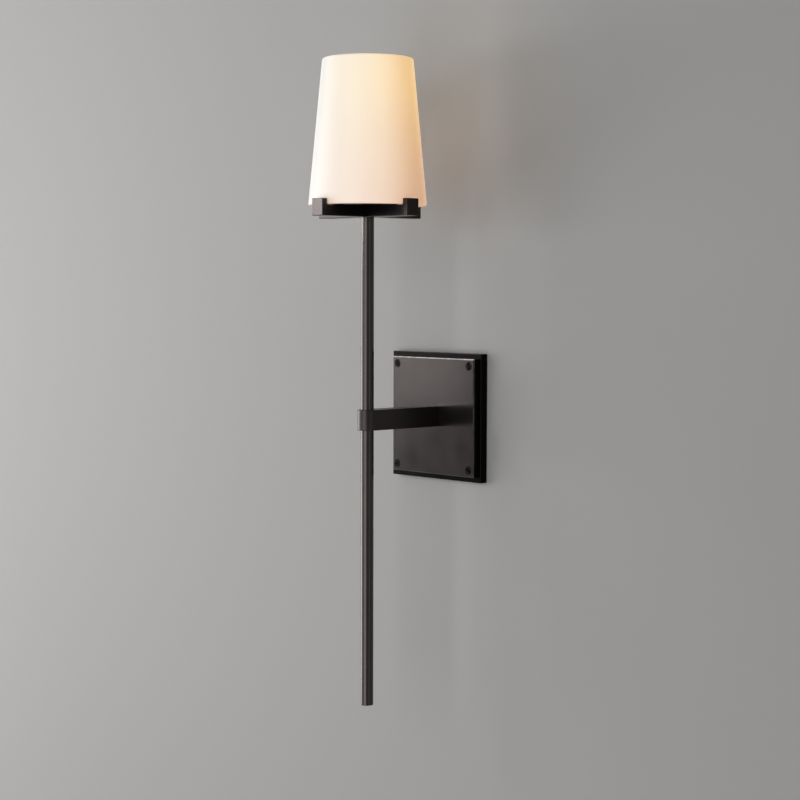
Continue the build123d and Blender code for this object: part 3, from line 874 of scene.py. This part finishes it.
def paleFinish(name, oneSided):
    material, tree, surface, coords = startMaterial(name)
    tone = addMix(tree, addNoise(tree, coords, studio["toneScale"]), *studio["tones"])
    tree.links.new(tone, surface.inputs["Base Color"])
    surface.inputs["Roughness"].default_value = studio["roughness"]
    surface.inputs["Specular IOR Level"].default_value = studio["specular"]
    if oneSided:
        clear = addNode(tree, "ShaderNodeBsdfTransparent")
        facing = addNode(tree, "ShaderNodeNewGeometry").outputs["Backfacing"]
        shaders = {0: facing, 1: surface.outputs[0], 2: clear.outputs[0]}
        either = addNode(tree, "ShaderNodeMixShader", shaders)
        tree.links.new(either.outputs[0], tree.nodes["Material Output"].inputs["Surface"])
    else:
        palest = studio["tones"][1][0]
        glow = addMath(tree, "MULTIPLY", addSeen(tree), studio["floorSeen"] / palest)
        tree.links.new(tone, surface.inputs["Emission Color"])
        tree.links.new(glow, surface.inputs["Emission Strength"])
    return material


def addStudio():
    floorLevel = cadBox[0][2] - studio["floorDrop"]
    far = studio["floorReach"]
    square = [(-far, -far), (far, -far), (far, far), (-far, far)]
    floorCorners = [(x, y, floorLevel) for x, y in square]
    addSheet("studioFloor", floorCorners, [(0, 1, 2, 3)], paleFinish("paleFloor", False))
    wide = studio["backdropReach"]
    back = cadBox[1][1] + studio["backdropGap"]
    high = studio["backdropHigh"]
    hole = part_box("back_pan")[1].x - studio["backdropInset"]
    outer = [(-wide, floorLevel), (wide, floorLevel), (wide, high), (-wide, high)]
    inner = [(-hole, -hole), (hole, -hole), (hole, hole), (-hole, hole)]
    backCorners = [(x, back, z) for x, z in outer + inner]
    around = [(0, 1, 5, 4), (1, 2, 6, 5), (2, 3, 7, 6), (3, 0, 4, 7)]
    backdrop = addSheet("studioBackdrop", backCorners, around, paleFinish("paleBackdrop", True))
    backdrop.visible_shadow = False


def addWorld():
    world = bpy.data.worlds.new("softStudio")
    scene.world = world
    world.use_nodes = True
    tree = world.node_tree
    background = tree.nodes["Background"]
    levels = (studio["worldLight"], studio["worldSeen"])
    feed(tree, studio["worldTone"], background.inputs["Color"])
    feed(tree, addRange(tree, addSeen(tree), unitSpan, levels, smooth=False), background.inputs["Strength"])


# soft lights, each placed round the lamp by angle: azimuth from square-on, to the right
# level is the power over pi and the panel's area, so a resized panel stays as bright
softLights = {
    "keyLeft": {"azimuth": -71.0, "rise": -6.0, "away": 2.2, "wide": 1.4, "tall": 1.3, "level": 5.4},
    "keyLow": {"azimuth": -50.0, "rise": 1.1, "away": 1.1, "wide": 0.14, "tall": 0.25, "level": 1.85},
    "keyHigh": {"azimuth": -44.4, "rise": 12.3, "away": 1.1, "wide": 0.24, "tall": 0.16, "level": 13.0},
    "skyLeft": {"azimuth": -58.0, "rise": 30.0, "away": 2.3, "wide": 1.4, "tall": 1.2, "level": 1.2},
    "edgeHigh": {"azimuth": -86.0, "rise": 42.0, "away": 2.2, "wide": 0.8, "tall": 0.8, "level": 5.0},
    "midLeft": {"azimuth": -32.0, "rise": -4.0, "away": 2.2, "wide": 0.5, "tall": 1.4, "level": 2.0},
    "softFront": {"azimuth": 11.0, "rise": 0.0, "away": 2.3, "wide": 1.8, "tall": 3.0, "level": 1.9},
    "fillRight": {"azimuth": 92.0, "rise": 0.0, "away": 2.4, "wide": 0.6, "tall": 2.0, "level": 0.7},
    "backFill": {"azimuth": 222.0, "rise": 18.0, "away": 2.4, "wide": 1.8, "tall": 1.6, "level": 1.8},
}


def addLights():
    aim = rodAxis + Vector((0.0, 0.0, (cadBox[0][2] + cadBox[1][2]) / 2))
    for name, look in softLights.items():
        turn = math.radians(look["azimuth"])
        rise = math.radians(look["rise"])
        way = Vector((math.sin(turn) * math.cos(rise), -math.cos(turn) * math.cos(rise), math.sin(rise)))
        data = bpy.data.lights.new(name, "AREA")
        data.shape = "RECTANGLE"
        data.size = look["wide"]
        data.size_y = look["tall"]
        data.energy = look["level"] * math.pi * look["wide"] * look["tall"]
        lamp = bpy.data.objects.new(name, data)
        lamp.location = aim + way * look["away"]
        lamp.rotation_euler = way.to_track_quat("Z", "Y").to_euler()
        scene.collection.objects.link(lamp)


addStudio()
addWorld()
addLights()
print("studio lit")
